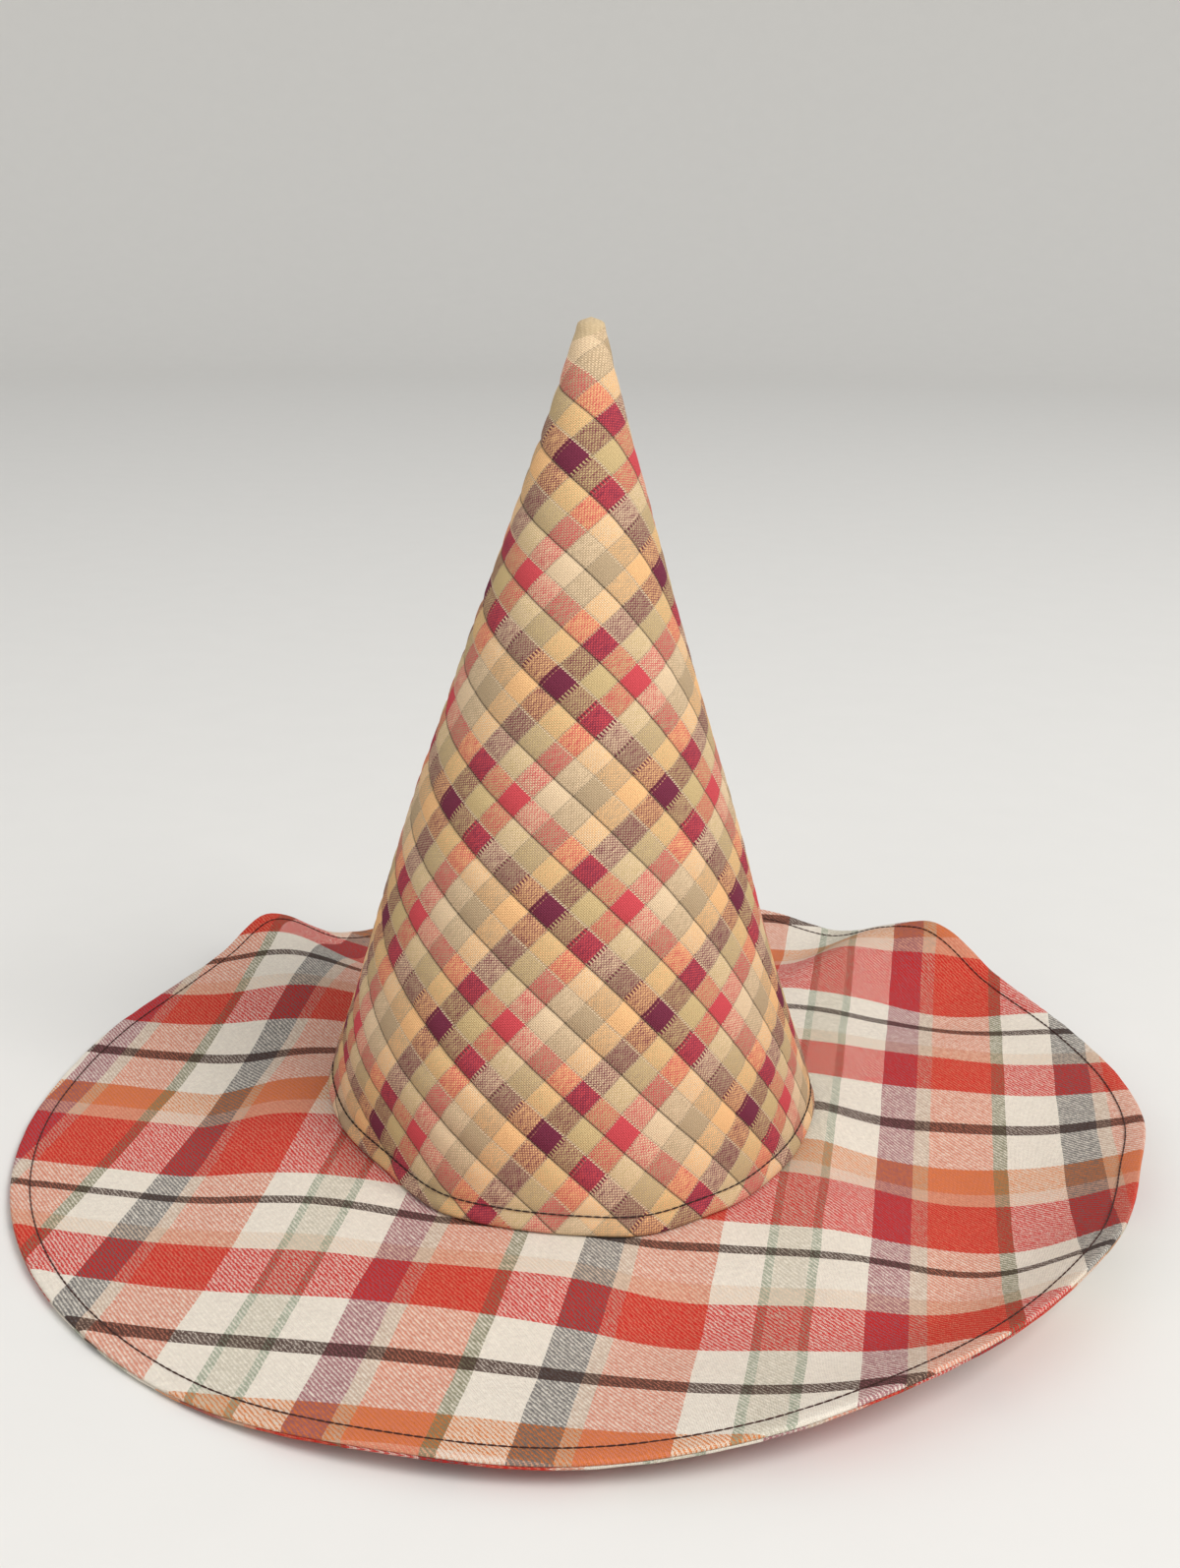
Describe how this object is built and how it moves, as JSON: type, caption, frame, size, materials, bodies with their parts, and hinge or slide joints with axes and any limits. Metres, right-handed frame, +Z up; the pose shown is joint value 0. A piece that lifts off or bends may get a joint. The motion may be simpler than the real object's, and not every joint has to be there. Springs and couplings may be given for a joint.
{
  "type": "floppy witch hat",
  "caption": "Tall pointed cone hat of quilted check cloth on a wide, softly waved round brim of two plaid cloths, open under the crown.",
  "frame": {"origin": "middle of the brim, on the surface that the hat stands on", "axes": "+Z up along the crown, -Y towards the front, +X to the right seen from the front"},
  "size_m": [0.4194, 0.4181, 0.303],
  "materials": {
    "crown_check": "ribbed woven check, quilted",
    "brim_plaid": "brushed twill plaid",
    "brim_under_plaid": "brushed twill plaid"
  },
  "bodies": {
    "root": {"crown_cone": "crown_check", "brim_upper": "brim_plaid", "brim_under": "brim_under_plaid"}
  },
  "joints": []
}
